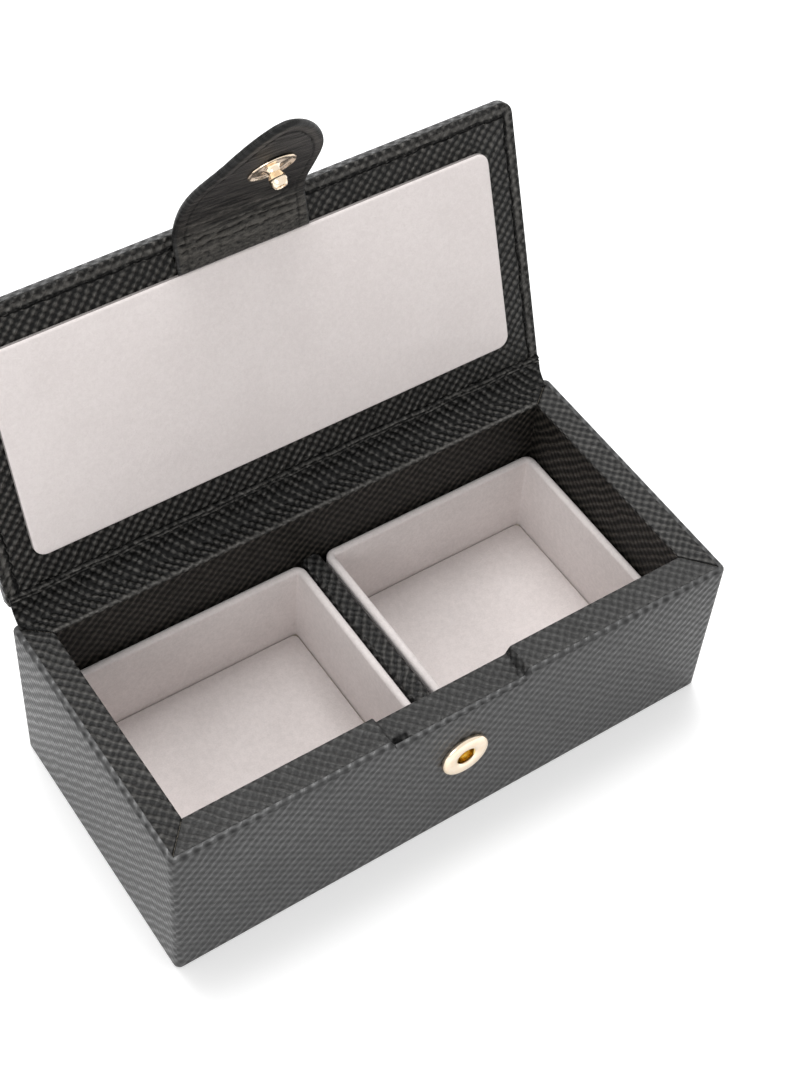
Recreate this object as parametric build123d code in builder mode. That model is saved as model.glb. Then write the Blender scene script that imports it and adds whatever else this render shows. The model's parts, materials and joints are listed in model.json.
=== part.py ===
from build123d import *
from math import cos, radians, sin
import os

# Cufflink box: a leather-covered board case with a leather-hinged lid, a press-stud tab
# and two suede trays that lift out of a black well. The lid stands open, as photographed.
# X runs along the front, Y from front to back, Z up. The origin is the centre of the base.

# Case
box_width = 145.0
box_depth = 69.4
rim_height = 45.4
side_wall = 7.4
front_wall = 8.5
back_wall = 6.2
base_board_thickness = 2.5
leather = 0.6
lining = 0.5
corner_radius = 1.5
rim_edge_radius = 0.4

# Recess in the front rim that the tab passes through
notch_x = -0.6
notch_width = 36.4
notch_depth = 2.2
notch_ramp = 1.4
notch_softness = 0.5

# Divider and trays
divider_x = 0.9
divider_width = 5.0
divider_edge_radius = 0.9
tray_height = 25.2
tray_clearance = 0.5
tray_card = 1.0
tray_suede = 0.55
tray_base_card = 0.8
tray_pad_thickness = 0.6
tray_pad_gap = 0.3
tray_outer_radius = 2.6
tray_inner_radius = 1.6
tray_rim_radius = 0.8

# Lid, and the axis that its leather hinge turns about
lid_width = 142.8
lid_thickness = 3.5
lid_front_radius = 3.0
lid_hinge_radius = 1.0
lid_edge_radius = 0.7
lid_turn_in = 2.8
open_angle = 109.0
hinge_behind = 2.0
hinge_above_rim = 0.8

# Leather hinge: an outer spine and an inner gusset
hinge_inset = 2.4
hinge_thickness = 0.6
spine_glued = 3.0
spine_bend = 0.5
gusset_on_rim = 2.0
gusset_on_lid = 2.0
gusset_rise = 1.0
gusset_bend = 0.8
glue_line = 0.05

# Raised suede panel inside the lid
panel_from_hinge = 10.0
panel_length = 50.3
panel_side_border = 8.6
panel_card = 0.8
panel_suede = 0.4
panel_corner_radius = 3.0
panel_edge_radius = 0.6

# Tab: its root lies on the lid, its tongue leans forward and a little to one side
tab_x = -0.5
tab_width = 32.4
tab_thickness = 1.8
tab_leather = 0.7
tab_length = 31.6
tab_round = 26.0
tab_edge_radius = 0.5
tab_turn_in = 1.3
tab_root_setback = 1.9
tab_tail_length = 7.5
tab_fold_length = 4.2
tab_pivot_out = 2.5
tab_pivot_drop = 3.1
tab_lean = 41.6
tab_turn = 6.5

# Press stud: a socket riveted to the front, a ball riveted to the tab
snap_x = 0.9
snap_height = 27.0
snapped_lean = 86.0
socket_radius = 6.1
socket_proud = 1.5
socket_plate = 0.4
socket_hole_radius = 2.4
socket_edge = 0.8
spring_wire_radius = 0.2
spring_half_gap = 2.3
spring_half_length = 3.9
spring_bend = 1.2
socket_rivet_radius = 3.0
socket_rivet_wall = 0.4
socket_rivet_head_radius = 4.8
socket_rivet_head = 0.4
socket_rivet_lip = 0.6
stud_bore_depth = 3.6
stud_radius = 6.1
stud_flange = 0.6
stud_dish = 0.3
stud_lip = 0.9
stud_height = 5.0
stud_ball_radius = 1.85
stud_neck_radius = 1.4
stud_rivet_radius = 0.8
stud_rivet_depth = 1.4
stud_rivet_head_radius = 4.0
stud_rivet_head = 0.3

# Worked out from the sizes above
half_width = box_width / 2
half_depth = box_depth / 2
well_left = side_wall - half_width
well_right = half_width - side_wall
well_front = front_wall - half_depth
well_back = half_depth - back_wall
wall_bottom = leather + base_board_thickness
floor_top = wall_bottom + lining
board_top = rim_height - leather
wall_board_height = board_top - wall_bottom
lined_width = well_right - well_left
lined_depth = well_back - well_front
well_centre = ((well_left + well_right) / 2, (well_front + well_back) / 2)
tray_top = floor_top + tray_height
tray_wall = tray_card + 2 * tray_suede
half_divider = divider_width / 2
half_lid = lid_width / 2
lid_length = box_depth
panel_end = panel_from_hinge + panel_length
panel_thickness = panel_card + panel_suede
hinge_half = half_lid - hinge_inset
hinge_y = half_depth + hinge_behind
hinge_z = rim_height + hinge_above_rim
front_plane = Plane.XZ.offset(half_depth)

# The open lid's own plane: X along the hinge, Y away from it, Z out of its inner face.
# Closed, the inner face lies on the rim and the lid's back edge is flush with the case.
opening = radians(open_angle)
lid_y = hinge_y - hinge_behind * cos(opening) - hinge_above_rim * sin(opening)
lid_z = hinge_z + hinge_behind * sin(opening) - hinge_above_rim * cos(opening)
lid_plane = Plane(
    origin=(0, lid_y, lid_z),
    x_dir=(1, 0, 0),
    z_dir=(0, -sin(opening), -cos(opening)),
)
lid_inwards = Axis(lid_plane.origin, lid_plane.z_dir)

# The tongue's own plane: X across it, Y towards its tip, Z out of its inner face,
# through the middle of its thickness
lean = radians(tab_lean)
turn = radians(tab_turn)
tab_pivot = lid_plane.from_local_coords(
    Vector(tab_x, lid_length + tab_pivot_out, tab_pivot_drop)
)
tab_across = (
    lid_plane.x_dir * cos(turn)
    - lid_plane.y_dir * (sin(turn) * cos(lean))
    - lid_plane.z_dir * (sin(turn) * sin(lean))
)
tab_facing = lid_plane.z_dir * cos(lean) - lid_plane.y_dir * sin(lean)
tab_plane = Plane(origin=tab_pivot, x_dir=tab_across, z_dir=tab_facing)
tab_face = tab_thickness / 2
tab_straight = tab_length - tab_round
tab_root_end = lid_length - tab_root_setback

# The ball stands on the tongue where folding it down brings it into the socket
snapped = radians(snapped_lean)
ball_centre = tab_face + stud_height - stud_ball_radius
stud_across = snap_x - tab_x
stud_along = (
    rim_height - tab_pivot_drop - snap_height - ball_centre * cos(snapped)
) / sin(snapped)


def rim_line(drop):
    """The front rim's outline with its recess, lowered by the drop."""
    left = notch_x - notch_width / 2
    right = notch_x + notch_width / 2
    floor = rim_height - notch_depth - drop
    return FilletPolyline(
        (-half_width, rim_height - drop),
        (left, rim_height - drop),
        (left + notch_ramp, floor),
        (right - notch_ramp, floor),
        (right, rim_height - drop),
        (half_width, rim_height - drop),
        radius=notch_softness,
    )


def above_rim(drop):
    """Everything over the lowered rim line, seen from the front."""
    over = rim_height + leather
    with BuildSketch(front_plane) as face:
        with BuildLine():
            rim = rim_line(drop)
            Polyline(rim @ 1, (half_width, over), (-half_width, over), rim @ 0)
        make_face()
    return face.sketch


def rim_side(bottom, *corners):
    """The plan of one mitred side of the rim, rounded at the case's corners."""
    with BuildSketch(Plane.XY.offset(bottom)) as face:
        with BuildLine():
            Polyline(*corners, close=True)
        make_face()
        RectangleRounded(box_width, box_depth, corner_radius, mode=Mode.INTERSECT)
    return face.sketch


def lid_outline(height, inset):
    """The lid's outline at a height over its inner face, drawn in by the inset."""
    with BuildSketch(lid_plane.offset(height)) as face:
        with Locations((0, lid_length / 2)):
            Rectangle(lid_width - 2 * inset, lid_length - 2 * inset)
        front = face.vertices().group_by(Axis.Y)[-1]
        fillet(front, max(lid_front_radius - inset, lining))
        back = face.vertices().group_by(Axis.Y)[0]
        fillet(back, max(lid_hinge_radius - inset, leather / 2))
    return face.sketch


def panel_outline(inset):
    """The suede panel's outline on the lid's inner face, drawn in by the inset."""
    with BuildSketch(lid_plane) as face:
        with Locations((0, panel_from_hinge + panel_length / 2)):
            RectangleRounded(
                lid_width - 2 * (panel_side_border + inset),
                panel_length - 2 * inset,
                panel_corner_radius - inset,
            )
    return face.sketch


def tongue(height, inset):
    """The tab's free outline: straight sides that run into a half-ellipse."""
    half = tab_width / 2 - inset
    start = tab_fold_length + inset
    with BuildSketch(tab_plane.offset(height)) as face:
        with BuildLine():
            EllipticalCenterArc((0, tab_straight), half, tab_round - inset, arc_size=180)
            Polyline((-half, tab_straight), (-half, start), (half, start), (half, tab_straight))
        make_face()
    return face.sketch


os.makedirs("parts", exist_ok=True)

# --- Case -------------------------------------------------------------------

with BuildPart() as base_cover:
    with BuildSketch():
        RectangleRounded(
            box_width - 2 * leather, box_depth - 2 * leather, corner_radius - leather
        )
    extrude(amount=leather)

base_cover.part.label = "base_cover"
export_step(base_cover.part, "parts/base_cover.step")

with BuildPart() as base_board:
    with BuildSketch(Plane.XY.offset(leather)):
        RectangleRounded(
            box_width - 2 * leather, box_depth - 2 * leather, corner_radius - leather
        )
    extrude(amount=base_board_thickness)

base_board.part.label = "base_board"
export_step(base_board.part, "parts/base_board.step")

# The wall boards stand on the base board. The front one is cut down at the recess and
# bored behind the socket, so that the ball of the stud can pass into it.
front_board_depth = front_wall - leather - lining
with BuildPart() as board_front:
    with BuildSketch(Plane.XY.offset(wall_bottom)):
        with Locations((0, well_front - lining - front_board_depth / 2)):
            Rectangle(box_width - 2 * leather, front_board_depth)
    extrude(amount=wall_board_height)
    outer = board_front.edges().filter_by(Axis.Z).group_by(Axis.Y)[0]
    fillet(outer, corner_radius - leather)
    extrude(above_rim(leather), amount=-front_wall, mode=Mode.SUBTRACT)
    with Locations(front_plane.offset(-leather)):
        with Locations((snap_x, snap_height)):
            CounterBoreHole(
                radius=socket_rivet_radius,
                counter_bore_radius=socket_rivet_head_radius,
                counter_bore_depth=socket_rivet_head,
                depth=stud_bore_depth,
            )

board_front.part.label = "board_front"
export_step(board_front.part, "parts/board_front.step")

back_board_depth = back_wall - leather - lining
with BuildPart() as board_back:
    with BuildSketch(Plane.XY.offset(wall_bottom)):
        with Locations((0, well_back + lining + back_board_depth / 2)):
            Rectangle(box_width - 2 * leather, back_board_depth)
    extrude(amount=wall_board_height)
    outer = board_back.edges().filter_by(Axis.Z).group_by(Axis.Y)[-1]
    fillet(outer, corner_radius - leather)

board_back.part.label = "board_back"
export_step(board_back.part, "parts/board_back.step")

side_board_width = side_wall - leather - lining
for side, name in ((-1, "board_left"), (1, "board_right")):
    with BuildPart() as board_side:
        with BuildSketch(Plane.XY.offset(wall_bottom)):
            with Locations(
                (side * (half_width - leather - side_board_width / 2), well_centre[1])
            ):
                Rectangle(side_board_width, lined_depth + 2 * lining)
        extrude(amount=wall_board_height)
    board_side.part.label = name
    export_step(board_side.part, f"parts/{name}.step")

# One wrap of leather round the walls, cut down at the recess, let in at the back for the
# hinge's spine and holed for the socket's rivet
with BuildPart() as outer_wrap:
    with BuildSketch():
        RectangleRounded(box_width, box_depth, corner_radius)
        RectangleRounded(
            box_width - 2 * leather,
            box_depth - 2 * leather,
            corner_radius - leather,
            mode=Mode.SUBTRACT,
        )
    extrude(amount=board_top)
    extrude(above_rim(leather), amount=-front_wall, mode=Mode.SUBTRACT)
    with BuildSketch(Plane.XZ.offset(-half_depth)):
        with Locations((0, board_top)):
            Rectangle(2 * hinge_half, 2 * spine_glued)
    extrude(amount=back_wall, mode=Mode.SUBTRACT)
    with Locations(front_plane):
        with Locations((snap_x, snap_height)):
            Hole(radius=socket_rivet_radius, depth=leather)

outer_wrap.part.label = "outer_wrap"
export_step(outer_wrap.part, "parts/outer_wrap.step")

# --- Rim: four leather strips, mitred at the corners -------------------------

front_left = (-half_width, -half_depth)
front_right = (half_width, -half_depth)
back_left = (-half_width, half_depth)
back_right = (half_width, half_depth)
well_front_left = (well_left, well_front)
well_front_right = (well_right, well_front)
well_back_left = (well_left, well_back)
well_back_right = (well_right, well_back)

with BuildPart() as rim_strip_front:
    extrude(
        rim_side(
            board_top - notch_depth,
            front_left,
            front_right,
            well_front_right,
            well_front_left,
        ),
        amount=notch_depth + leather,
    )
    extrude(above_rim(leather), amount=-front_wall, mode=Mode.INTERSECT)
    extrude(above_rim(0), amount=-front_wall, mode=Mode.SUBTRACT)

rim_strip_front.part.label = "rim_strip_front"
export_step(rim_strip_front.part, "parts/rim_strip_front.step")

# The back strip stops short of the hinge's gusset, which is glued down behind it
with BuildPart() as rim_strip_back:
    extrude(
        rim_side(board_top, back_right, back_left, well_back_left, well_back_right),
        amount=leather,
    )
    with BuildSketch(Plane.XY.offset(board_top)):
        with Locations((0, half_depth)):
            Rectangle(2 * hinge_half, 2 * gusset_on_rim)
    extrude(amount=leather, mode=Mode.SUBTRACT)
    inner = rim_strip_back.faces().sort_by(Axis.Z)[-1].edges().filter_by(Axis.X)
    fillet(inner.sort_by(Axis.Y)[0], rim_edge_radius)

rim_strip_back.part.label = "rim_strip_back"
export_step(rim_strip_back.part, "parts/rim_strip_back.step")

for side, name in ((-1, "rim_strip_left"), (1, "rim_strip_right")):
    inner_x = side * (half_width - side_wall)
    with BuildPart() as rim_strip_side:
        extrude(
            rim_side(
                board_top,
                (side * half_width, -half_depth),
                (side * half_width, half_depth),
                (inner_x, well_back),
                (inner_x, well_front),
            ),
            amount=leather,
        )
        top = rim_strip_side.faces().sort_by(Axis.Z)[-1].edges().filter_by(Axis.Y)
        fillet(top, rim_edge_radius)
    rim_strip_side.part.label = name
    export_step(rim_strip_side.part, f"parts/{name}.step")

# --- Black lining of the well, and the divider -------------------------------

with BuildPart() as well_floor_lining:
    with BuildSketch(Plane.XY.offset(wall_bottom)):
        with Locations(well_centre):
            Rectangle(lined_width + 2 * lining, lined_depth + 2 * lining)
    extrude(amount=lining)

well_floor_lining.part.label = "well_floor_lining"
export_step(well_floor_lining.part, "parts/well_floor_lining.step")

with BuildPart() as well_wall_lining:
    with BuildSketch(Plane.XY.offset(floor_top)):
        with Locations(well_centre):
            Rectangle(lined_width + 2 * lining, lined_depth + 2 * lining)
            Rectangle(lined_width, lined_depth, mode=Mode.SUBTRACT)
    extrude(amount=board_top - floor_top)
    extrude(above_rim(leather), amount=-front_wall, mode=Mode.SUBTRACT)

well_wall_lining.part.label = "well_wall_lining"
export_step(well_wall_lining.part, "parts/well_wall_lining.step")

divider_plane = Plane.XZ.offset(-well_front)
divider_board_half = half_divider - leather
divider_board_top = tray_top - leather

with BuildPart() as divider_board:
    with BuildSketch(divider_plane):
        with Locations((divider_x, (floor_top + divider_board_top) / 2)):
            Rectangle(2 * divider_board_half, divider_board_top - floor_top)
    extrude(amount=-lined_depth)

divider_board.part.label = "divider_board"
export_step(divider_board.part, "parts/divider_board.step")

with BuildPart() as divider_cover:
    with BuildSketch(divider_plane) as section:
        with Locations((divider_x, (floor_top + tray_top) / 2)):
            Rectangle(divider_width, tray_top - floor_top)
        fillet(section.vertices().group_by(Axis.Y)[-1], divider_edge_radius)
        with Locations((divider_x, (floor_top + divider_board_top) / 2)):
            Rectangle(
                2 * divider_board_half, divider_board_top - floor_top, mode=Mode.SUBTRACT
            )
    extrude(amount=-lined_depth)

divider_cover.part.label = "divider_cover"
export_step(divider_cover.part, "parts/divider_cover.step")

# --- Lift-out trays: a card shell, suede inside and out, and a suede floor pad ---

tray_spans = (
    ("tray_left", well_left, divider_x - half_divider),
    ("tray_right", divider_x + half_divider, well_right),
)
tray_depth = lined_depth - 2 * tray_clearance
for tray, span_start, span_end in tray_spans:
    tray_width = span_end - span_start - 2 * tray_clearance
    tray_centre = ((span_start + span_end) / 2, well_centre[1])

    with BuildPart() as core:
        with BuildSketch(Plane.XY.offset(floor_top)):
            with Locations(tray_centre):
                RectangleRounded(
                    tray_width - 2 * tray_suede,
                    tray_depth - 2 * tray_suede,
                    tray_outer_radius - tray_suede,
                )
        extrude(amount=tray_height - tray_suede)
        with BuildSketch(Plane.XY.offset(floor_top + tray_base_card)):
            with Locations(tray_centre):
                RectangleRounded(
                    tray_width - 2 * (tray_suede + tray_card),
                    tray_depth - 2 * (tray_suede + tray_card),
                    tray_inner_radius + tray_suede,
                )
        extrude(amount=tray_height, mode=Mode.SUBTRACT)

    with BuildPart() as cover:
        with BuildSketch(Plane.XY.offset(floor_top)):
            with Locations(tray_centre):
                RectangleRounded(tray_width, tray_depth, tray_outer_radius)
        extrude(amount=tray_height)
        with BuildSketch(Plane.XY.offset(floor_top)):
            with Locations(tray_centre):
                RectangleRounded(
                    tray_width - 2 * tray_wall,
                    tray_depth - 2 * tray_wall,
                    tray_inner_radius,
                )
        extrude(amount=tray_height, mode=Mode.SUBTRACT)
        fillet(cover.faces().sort_by(Axis.Z)[-1].edges(), tray_rim_radius)
        add(core.part, mode=Mode.SUBTRACT)

    with BuildPart() as pad:
        with BuildSketch(Plane.XY.offset(floor_top + tray_base_card)):
            with Locations(tray_centre):
                RectangleRounded(
                    tray_width - 2 * (tray_wall + tray_pad_gap),
                    tray_depth - 2 * (tray_wall + tray_pad_gap),
                    tray_inner_radius - tray_pad_gap,
                )
        extrude(amount=tray_pad_thickness)

    core.part.label = f"{tray}_core"
    cover.part.label = f"{tray}_cover"
    pad.part.label = f"{tray}_pad"
    export_step(core.part, f"parts/{tray}_core.step")
    export_step(cover.part, f"parts/{tray}_cover.step")
    export_step(pad.part, f"parts/{tray}_pad.step")

# --- Socket of the press stud, riveted through the leather into the board ------

snap_axis = Axis((snap_x, -half_depth, snap_height), (0, -1, 0))
snap_section = Plane(
    origin=(snap_x, -half_depth, snap_height), x_dir=(0, -1, 0), z_dir=(1, 0, 0)
)
socket_cavity_radius = socket_radius - socket_edge - socket_plate
socket_front_inside = socket_proud - socket_plate

with BuildPart() as snap_socket:
    with BuildSketch(snap_section):
        with BuildLine():
            l1 = Line((0, socket_rivet_radius), (0, socket_radius - socket_plate))
            l2 = RadiusArc(l1 @ 1, (socket_plate, socket_radius), -socket_plate)
            l3 = Line(l2 @ 1, (socket_proud - socket_edge, socket_radius))
            l4 = RadiusArc(
                l3 @ 1, (socket_proud, socket_radius - socket_edge), socket_edge
            )
            l5 = Line(l4 @ 1, (socket_proud, socket_hole_radius + socket_plate / 2))
            l6 = RadiusArc(
                l5 @ 1,
                (socket_proud - socket_plate / 2, socket_hole_radius),
                -socket_plate / 2,
            )
            Polyline(
                l6 @ 1,
                (socket_front_inside, socket_hole_radius),
                (socket_front_inside, socket_cavity_radius),
                (socket_plate, socket_cavity_radius),
                (socket_plate, socket_rivet_radius),
                l1 @ 0,
            )
        make_face()
    revolve(axis=snap_axis)

snap_socket.part.label = "snap_socket"
export_step(snap_socket.part, "parts/snap_socket.step")

rivet_inner = socket_rivet_radius - socket_rivet_wall
with BuildPart() as snap_socket_rivet:
    with BuildSketch(snap_section):
        with BuildLine():
            Polyline(
                (-leather - socket_rivet_head, rivet_inner),
                (-leather - socket_rivet_head, socket_rivet_head_radius),
                (-leather, socket_rivet_head_radius),
                (-leather, socket_rivet_radius),
                (socket_plate, socket_rivet_radius),
                (socket_plate, socket_rivet_radius + socket_rivet_lip),
                (socket_plate + socket_rivet_wall / 2, socket_rivet_radius + socket_rivet_lip),
                (socket_plate + socket_rivet_wall / 2, rivet_inner),
                close=True,
            )
        make_face()
    revolve(axis=snap_axis)

snap_socket_rivet.part.label = "snap_socket_rivet"
export_step(snap_socket_rivet.part, "parts/snap_socket_rivet.step")

# The spring is one bent wire whose two legs pass each side of the hole
spring_depth = socket_front_inside - spring_wire_radius
spring_plane = front_plane.offset(spring_depth)
with BuildPart() as snap_spring:
    with BuildLine(spring_plane) as wire:
        FilletPolyline(
            (snap_x - spring_half_gap, snap_height - spring_half_length),
            (snap_x - spring_half_gap, snap_height + spring_half_length),
            (snap_x + spring_half_gap, snap_height + spring_half_length),
            (snap_x + spring_half_gap, snap_height - spring_half_length),
            radius=spring_bend,
        )
    with BuildSketch(Plane(origin=wire.line @ 0, z_dir=wire.line % 0)):
        Circle(spring_wire_radius)
    sweep(path=wire.line)

snap_spring.part.label = "snap_spring"
export_step(snap_spring.part, "parts/snap_spring.step")

# --- Lid ---------------------------------------------------------------------

with BuildPart() as lid_board:
    extrude(
        lid_outline(leather - lid_thickness, leather), amount=lid_thickness - 2 * leather
    )

lid_board.part.label = "lid_board"
export_step(lid_board.part, "parts/lid_board.step")

# The outer leather wraps the board's edges and is turned in over its inner face
with BuildPart() as lid_cover:
    extrude(lid_outline(-lid_thickness, 0), amount=lid_thickness)
    fillet(lid_cover.faces().sort_by(lid_inwards)[0].edges(), lid_edge_radius)
    extrude(lid_outline(-leather, lid_turn_in), amount=leather, mode=Mode.SUBTRACT)
    add(lid_board.part, mode=Mode.SUBTRACT)

lid_cover.part.label = "lid_cover"
export_step(lid_cover.part, "parts/lid_cover.step")

# The tab's tail is let into the inner leather, under the suede panel
with BuildSketch(lid_plane) as tail_outline:
    with Locations((tab_x, panel_end + tab_thickness - tab_tail_length / 2)):
        Rectangle(tab_width, tab_tail_length)

with BuildPart() as lid_border:
    extrude(lid_outline(-leather, lid_turn_in), amount=leather)
    extrude(tail_outline.sketch, amount=-leather, mode=Mode.SUBTRACT)

lid_border.part.label = "lid_border"
export_step(lid_border.part, "parts/lid_border.step")

with BuildPart() as lid_panel_card:
    extrude(panel_outline(panel_suede), amount=panel_card)

lid_panel_card.part.label = "lid_panel_card"
export_step(lid_panel_card.part, "parts/lid_panel_card.step")

with BuildPart() as lid_lining:
    extrude(panel_outline(0), amount=panel_thickness)
    fillet(lid_lining.faces().sort_by(lid_inwards)[-1].edges(), panel_edge_radius)
    add(lid_panel_card.part, mode=Mode.SUBTRACT)

lid_lining.part.label = "lid_lining"
export_step(lid_lining.part, "parts/lid_lining.step")

# --- Tab: root and fold on the lid, tongue and ball on their own ---------------

with BuildPart() as tab_root:
    with BuildSketch(lid_plane):
        with Locations((tab_x, (panel_end + tab_root_end) / 2)):
            Rectangle(tab_width, tab_root_end - panel_end)
    extrude(amount=tab_thickness)
    extrude(tail_outline.sketch, amount=-leather)

tab_root.part.label = "tab_root"
export_step(tab_root.part, "parts/tab_root.step")

root_edge = lid_plane.from_local_coords(Vector(tab_x, tab_root_end, tab_face))
tongue_edge = tab_plane.from_local_coords(Vector(0, tab_fold_length, 0))
with BuildPart() as tab_fold:
    with BuildSketch(Plane(origin=root_edge, x_dir=(1, 0, 0), z_dir=lid_plane.y_dir)):
        Rectangle(tab_width, tab_thickness)
    with BuildSketch(Plane(origin=tongue_edge, x_dir=tab_across, z_dir=tab_plane.y_dir)):
        Rectangle(tab_width, tab_thickness)
    loft(ruled=True)

tab_fold.part.label = "tab_fold"
export_step(tab_fold.part, "parts/tab_fold.step")

stiffener_half = tab_face - tab_leather
with BuildPart() as tab_stiffener:
    extrude(tongue(-stiffener_half, tab_turn_in), amount=2 * stiffener_half)
    with Locations(tab_plane.offset(stiffener_half)):
        with Locations((stud_across, stud_along)):
            Hole(radius=stud_rivet_radius, depth=2 * stiffener_half)

tab_stiffener.part.label = "tab_stiffener"
export_step(tab_stiffener.part, "parts/tab_stiffener.step")

with BuildPart() as tab_outer_leather:
    extrude(tongue(-tab_face, 0), amount=tab_face)
    outside = Axis(tab_plane.origin, tab_plane.z_dir)
    rim = tab_outer_leather.faces().sort_by(outside)[0].edges()
    fillet(rim, tab_edge_radius)
    extrude(tongue(-stiffener_half, tab_turn_in), amount=stiffener_half, mode=Mode.SUBTRACT)
    with BuildSketch(tab_plane.offset(-stiffener_half)):
        with Locations((stud_across, stud_along)):
            Circle(stud_rivet_head_radius)
    extrude(amount=-stud_rivet_head, mode=Mode.SUBTRACT)

tab_outer_leather.part.label = "tab_outer_leather"
export_step(tab_outer_leather.part, "parts/tab_outer_leather.step")

with BuildPart() as tab_inner_leather:
    extrude(tongue(0, 0), amount=tab_face)
    outside = Axis(tab_plane.origin, tab_plane.z_dir)
    rim = tab_inner_leather.faces().sort_by(outside)[-1].edges()
    fillet(rim, tab_edge_radius)
    extrude(tongue(0, tab_turn_in), amount=stiffener_half, mode=Mode.SUBTRACT)
    with Locations(tab_plane.offset(tab_face)):
        with Locations((stud_across, stud_along)):
            Hole(radius=stud_rivet_radius, depth=tab_face)

tab_inner_leather.part.label = "tab_inner_leather"
export_step(tab_inner_leather.part, "parts/tab_inner_leather.step")

# The ball and its dished flange, and the rivet that holds them to the tab
stud_foot = tab_plane.from_local_coords(Vector(stud_across, stud_along, tab_face))
stud_axis = Axis(stud_foot, tab_plane.z_dir)
stud_section = Plane(origin=stud_foot, x_dir=tab_plane.z_dir, z_dir=-tab_plane.x_dir)
ball_height = stud_height - stud_ball_radius
neck_top = ball_height - (stud_ball_radius**2 - stud_neck_radius**2) ** 0.5

with BuildPart() as snap_stud:
    with BuildSketch(stud_section):
        with BuildLine():
            l1 = Polyline((0, stud_rivet_radius), (0, stud_radius - stud_flange / 2))
            l2 = ThreePointArc(
                l1 @ 1,
                (stud_flange / 2, stud_radius),
                (stud_flange, stud_radius - stud_flange / 2),
            )
            l3 = Polyline(
                l2 @ 1,
                (stud_flange, stud_radius - stud_lip),
                (stud_dish, stud_radius - stud_lip - stud_dish),
                (stud_dish, stud_neck_radius + stud_dish),
                (2 * stud_dish, stud_neck_radius),
                (neck_top, stud_neck_radius),
            )
            l4 = ThreePointArc(
                l3 @ 1, (ball_height, stud_ball_radius), (stud_height, 0)
            )
            Polyline(
                l4 @ 1,
                (stud_rivet_depth, 0),
                (stud_rivet_depth, stud_rivet_radius),
                l1 @ 0,
            )
        make_face()
    revolve(axis=stud_axis)

snap_stud.part.label = "snap_stud"
export_step(snap_stud.part, "parts/snap_stud.step")

with BuildPart() as snap_stud_rivet:
    with BuildSketch(tab_plane.offset(-stiffener_half)):
        with Locations((stud_across, stud_along)):
            Circle(stud_rivet_head_radius)
    extrude(amount=-stud_rivet_head)
    with BuildSketch(tab_plane.offset(-stiffener_half)):
        with Locations((stud_across, stud_along)):
            Circle(stud_rivet_radius)
    extrude(amount=stiffener_half + tab_face + stud_rivet_depth)

snap_stud_rivet.part.label = "snap_stud_rivet"
export_step(snap_stud_rivet.part, "parts/snap_stud_rivet.step")

# --- Leather hinge -------------------------------------------------------------

hinge_plane = Plane.YZ.offset(-hinge_half)
half_strip = hinge_thickness / 2


def beside_lid(along, height):
    """Where a point of the lid's own plane lies in the section across the hinge."""
    point = lid_plane.from_local_coords(Vector(0, along, height))
    return (point.Y, point.Z)


# The spine runs up the back, folds out under the lid's back edge and meets its outside
with BuildPart() as hinge_spine:
    with BuildSketch(hinge_plane):
        with BuildLine():
            FilletPolyline(
                (half_depth - half_strip, board_top - spine_glued),
                (half_depth - half_strip, board_top + half_strip),
                beside_lid(-3 * hinge_thickness, half_strip - lid_thickness),
                beside_lid(-glue_line, half_strip - lid_thickness),
                radius=spine_bend,
            )
        trace(line_width=hinge_thickness)
    extrude(amount=2 * hinge_half)

hinge_spine.part.label = "hinge_spine"
export_step(hinge_spine.part, "parts/hinge_spine.step")

# The gusset is glued to the back rim, rises in a fold and is glued to the lid's inside
with BuildPart() as hinge_gusset:
    with BuildSketch(hinge_plane):
        with BuildLine():
            FilletPolyline(
                (half_depth - gusset_on_rim, rim_height - half_strip),
                (half_depth - gusset_on_rim + gusset_rise, rim_height - half_strip),
                beside_lid(-gusset_rise, half_strip + glue_line),
                beside_lid(gusset_on_lid, half_strip + glue_line),
                radius=gusset_bend,
            )
        trace(line_width=hinge_thickness)
    extrude(amount=2 * hinge_half)

hinge_gusset.part.label = "hinge_gusset"
export_step(hinge_gusset.part, "parts/hinge_gusset.step")
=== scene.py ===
import json
import math

import bmesh
import bpy
from mathutils import Matrix, Vector, noise


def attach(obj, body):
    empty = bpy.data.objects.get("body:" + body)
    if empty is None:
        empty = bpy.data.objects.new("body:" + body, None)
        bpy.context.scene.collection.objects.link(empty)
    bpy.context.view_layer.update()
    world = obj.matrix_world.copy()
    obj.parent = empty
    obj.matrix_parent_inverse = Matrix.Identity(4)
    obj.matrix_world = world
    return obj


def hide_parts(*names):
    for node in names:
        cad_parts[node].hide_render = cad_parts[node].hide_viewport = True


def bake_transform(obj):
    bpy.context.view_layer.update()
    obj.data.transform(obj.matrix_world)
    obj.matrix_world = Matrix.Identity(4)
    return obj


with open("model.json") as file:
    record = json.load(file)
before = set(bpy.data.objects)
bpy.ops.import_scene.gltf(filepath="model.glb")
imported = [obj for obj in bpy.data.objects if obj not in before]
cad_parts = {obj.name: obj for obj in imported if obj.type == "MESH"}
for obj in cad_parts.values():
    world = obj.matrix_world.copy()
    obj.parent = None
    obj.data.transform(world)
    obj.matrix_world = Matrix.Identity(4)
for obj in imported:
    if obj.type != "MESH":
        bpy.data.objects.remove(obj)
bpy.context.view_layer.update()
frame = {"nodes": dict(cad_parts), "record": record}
nodes = frame["nodes"]

# --- Table, light and camera ------------------------------
# The box stands on a white table under a broad soft light above and behind it and a weaker
# one at the front left. The camera looks down on it from the front left.
floor_size = 3.0
floor_mesh = bpy.data.meshes.new("table")
bm = bmesh.new()
bmesh.ops.create_grid(bm, x_segments=1, y_segments=1, size=floor_size / 2)
bm.to_mesh(floor_mesh)
bm.free()
floor = bpy.data.objects.new("table", floor_mesh)
bpy.context.scene.collection.objects.link(floor)


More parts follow.
